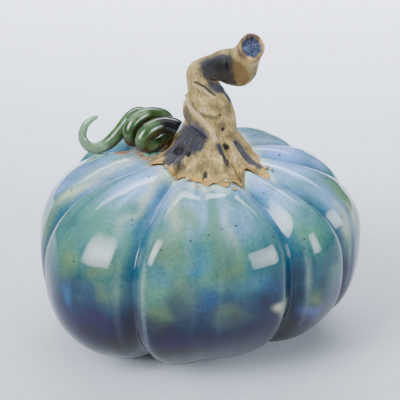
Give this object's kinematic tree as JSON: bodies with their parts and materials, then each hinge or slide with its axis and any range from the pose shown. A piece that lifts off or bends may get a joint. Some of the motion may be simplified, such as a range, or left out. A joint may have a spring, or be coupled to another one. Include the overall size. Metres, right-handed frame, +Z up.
{
  "type": "ceramic pumpkin ornament",
  "caption": "Hollow glazed pumpkin ornament: a lobed body on a flat foot with a vent hole, a twisted bare clay stem bent to one side, and a curled tendril.",
  "frame": {"origin": "the middle of the bounding box's base, on the surface that the foot rests on", "axes": "+Z up through the stem, -Y towards the viewer of the picture, +X to that viewer's right, the side the stem bends to; the tendril curls off to -X"},
  "size_m": [0.1212, 0.1176, 0.122],
  "materials": {
    "body_glaze": "glossy blue and green running glaze",
    "stem_clay": "matte bare clay with blue oxide in its hollows",
    "tendril_glaze": "glossy green glaze"
  },
  "bodies": {
    "root": {"body": "body_glaze", "stem": "stem_clay", "tendril": "tendril_glaze"}
  },
  "joints": []
}
